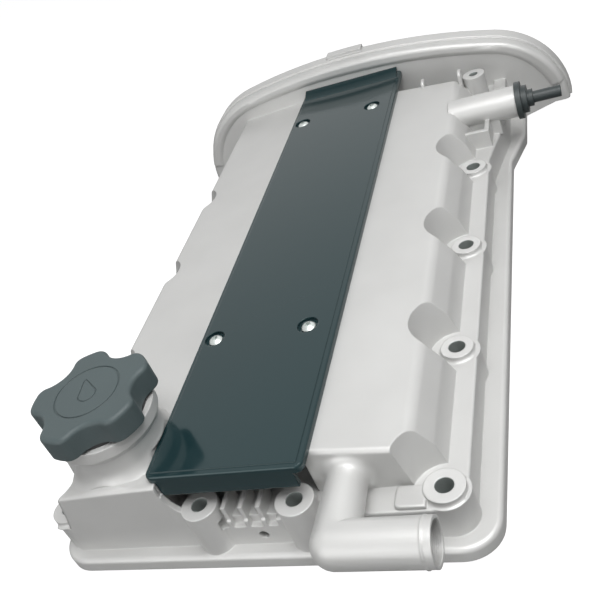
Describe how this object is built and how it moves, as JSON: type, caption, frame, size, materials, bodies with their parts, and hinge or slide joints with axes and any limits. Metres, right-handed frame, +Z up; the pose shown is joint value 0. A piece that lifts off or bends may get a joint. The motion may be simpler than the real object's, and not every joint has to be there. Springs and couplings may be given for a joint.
{
  "type": "engine valve cover",
  "caption": "Cast twin-camshaft valve cover with scalloped bolt columns, stepped timing-end arch, black plug cover plate, lobed oil cap, L-shaped breather pipe and breather valve.",
  "frame": {"origin": "axis of the second spark plug well, on the gasket face of the casting", "axes": "+X across the engine towards the breather valve, +Y along the cover towards the timing-end arch, +Z up out of the gasket face"},
  "size_m": [0.2972, 0.439, 0.0905],
  "materials": {
    "cast_silver": "silver paint over fine die-cast texture, satin",
    "plate_black": "polished black",
    "cap_grey": "fine-grained dark grey",
    "rubber_black": "matt",
    "screw_bright": "bright zinc",
    "sheet_steel": "plain pressed sheet",
    "spring_steel": "drawn wire",
    "valve_black": "moulded black"
  },
  "bodies": {
    "cover": {"cover_casting": "cast_silver", "plug_wire_cover": "plate_black", "plug_cover_screws": "screw_bright", "cover_gasket": "rubber_black", "plug_tube_seal_1": "rubber_black", "plug_tube_seal_2": "rubber_black", "plug_tube_seal_3": "rubber_black", "plug_tube_seal_4": "rubber_black", "baffle_plate_left": "sheet_steel", "baffle_plate_right": "sheet_steel", "baffle_screws_left": "screw_bright", "baffle_screws_right": "screw_bright", "breather_valve_body": "valve_black", "breather_valve_nozzle": "valve_black", "breather_valve_spring": "spring_steel", "breather_valve_seal": "rubber_black"},
    "cap_ring": {"oil_cap_seal": "rubber_black"},
    "cap": {"oil_filler_cap": "cap_grey"},
    "valve_plunger": {"breather_valve_plunger": "screw_bright"}
  },
  "joints": [
    {"name": "cap_lift", "type": "slide", "parent": "cover", "child": "cap_ring", "axis": [0, 0, 1], "range_m": [0, 0.012]},
    {"name": "cap_turn", "type": "hinge", "parent": "cap_ring", "child": "cap", "pos_m": [-0.0621, -0.1114, 0.0765], "axis": [0, 0, 1], "range_deg": [0, 540]},
    {"name": "plunger_slide", "type": "slide", "parent": "cover", "child": "valve_plunger", "axis": [1, 0, 0], "range_m": [0, 0.003], "stiffness_N_per_m": 120, "springref_m": -0.004, "deforming": ["breather_valve_spring"]}
  ],
  "couplings": [
    {"joint": "cap_turn", "follows": "cap_lift", "rad_per_m": 785.39}
  ]
}
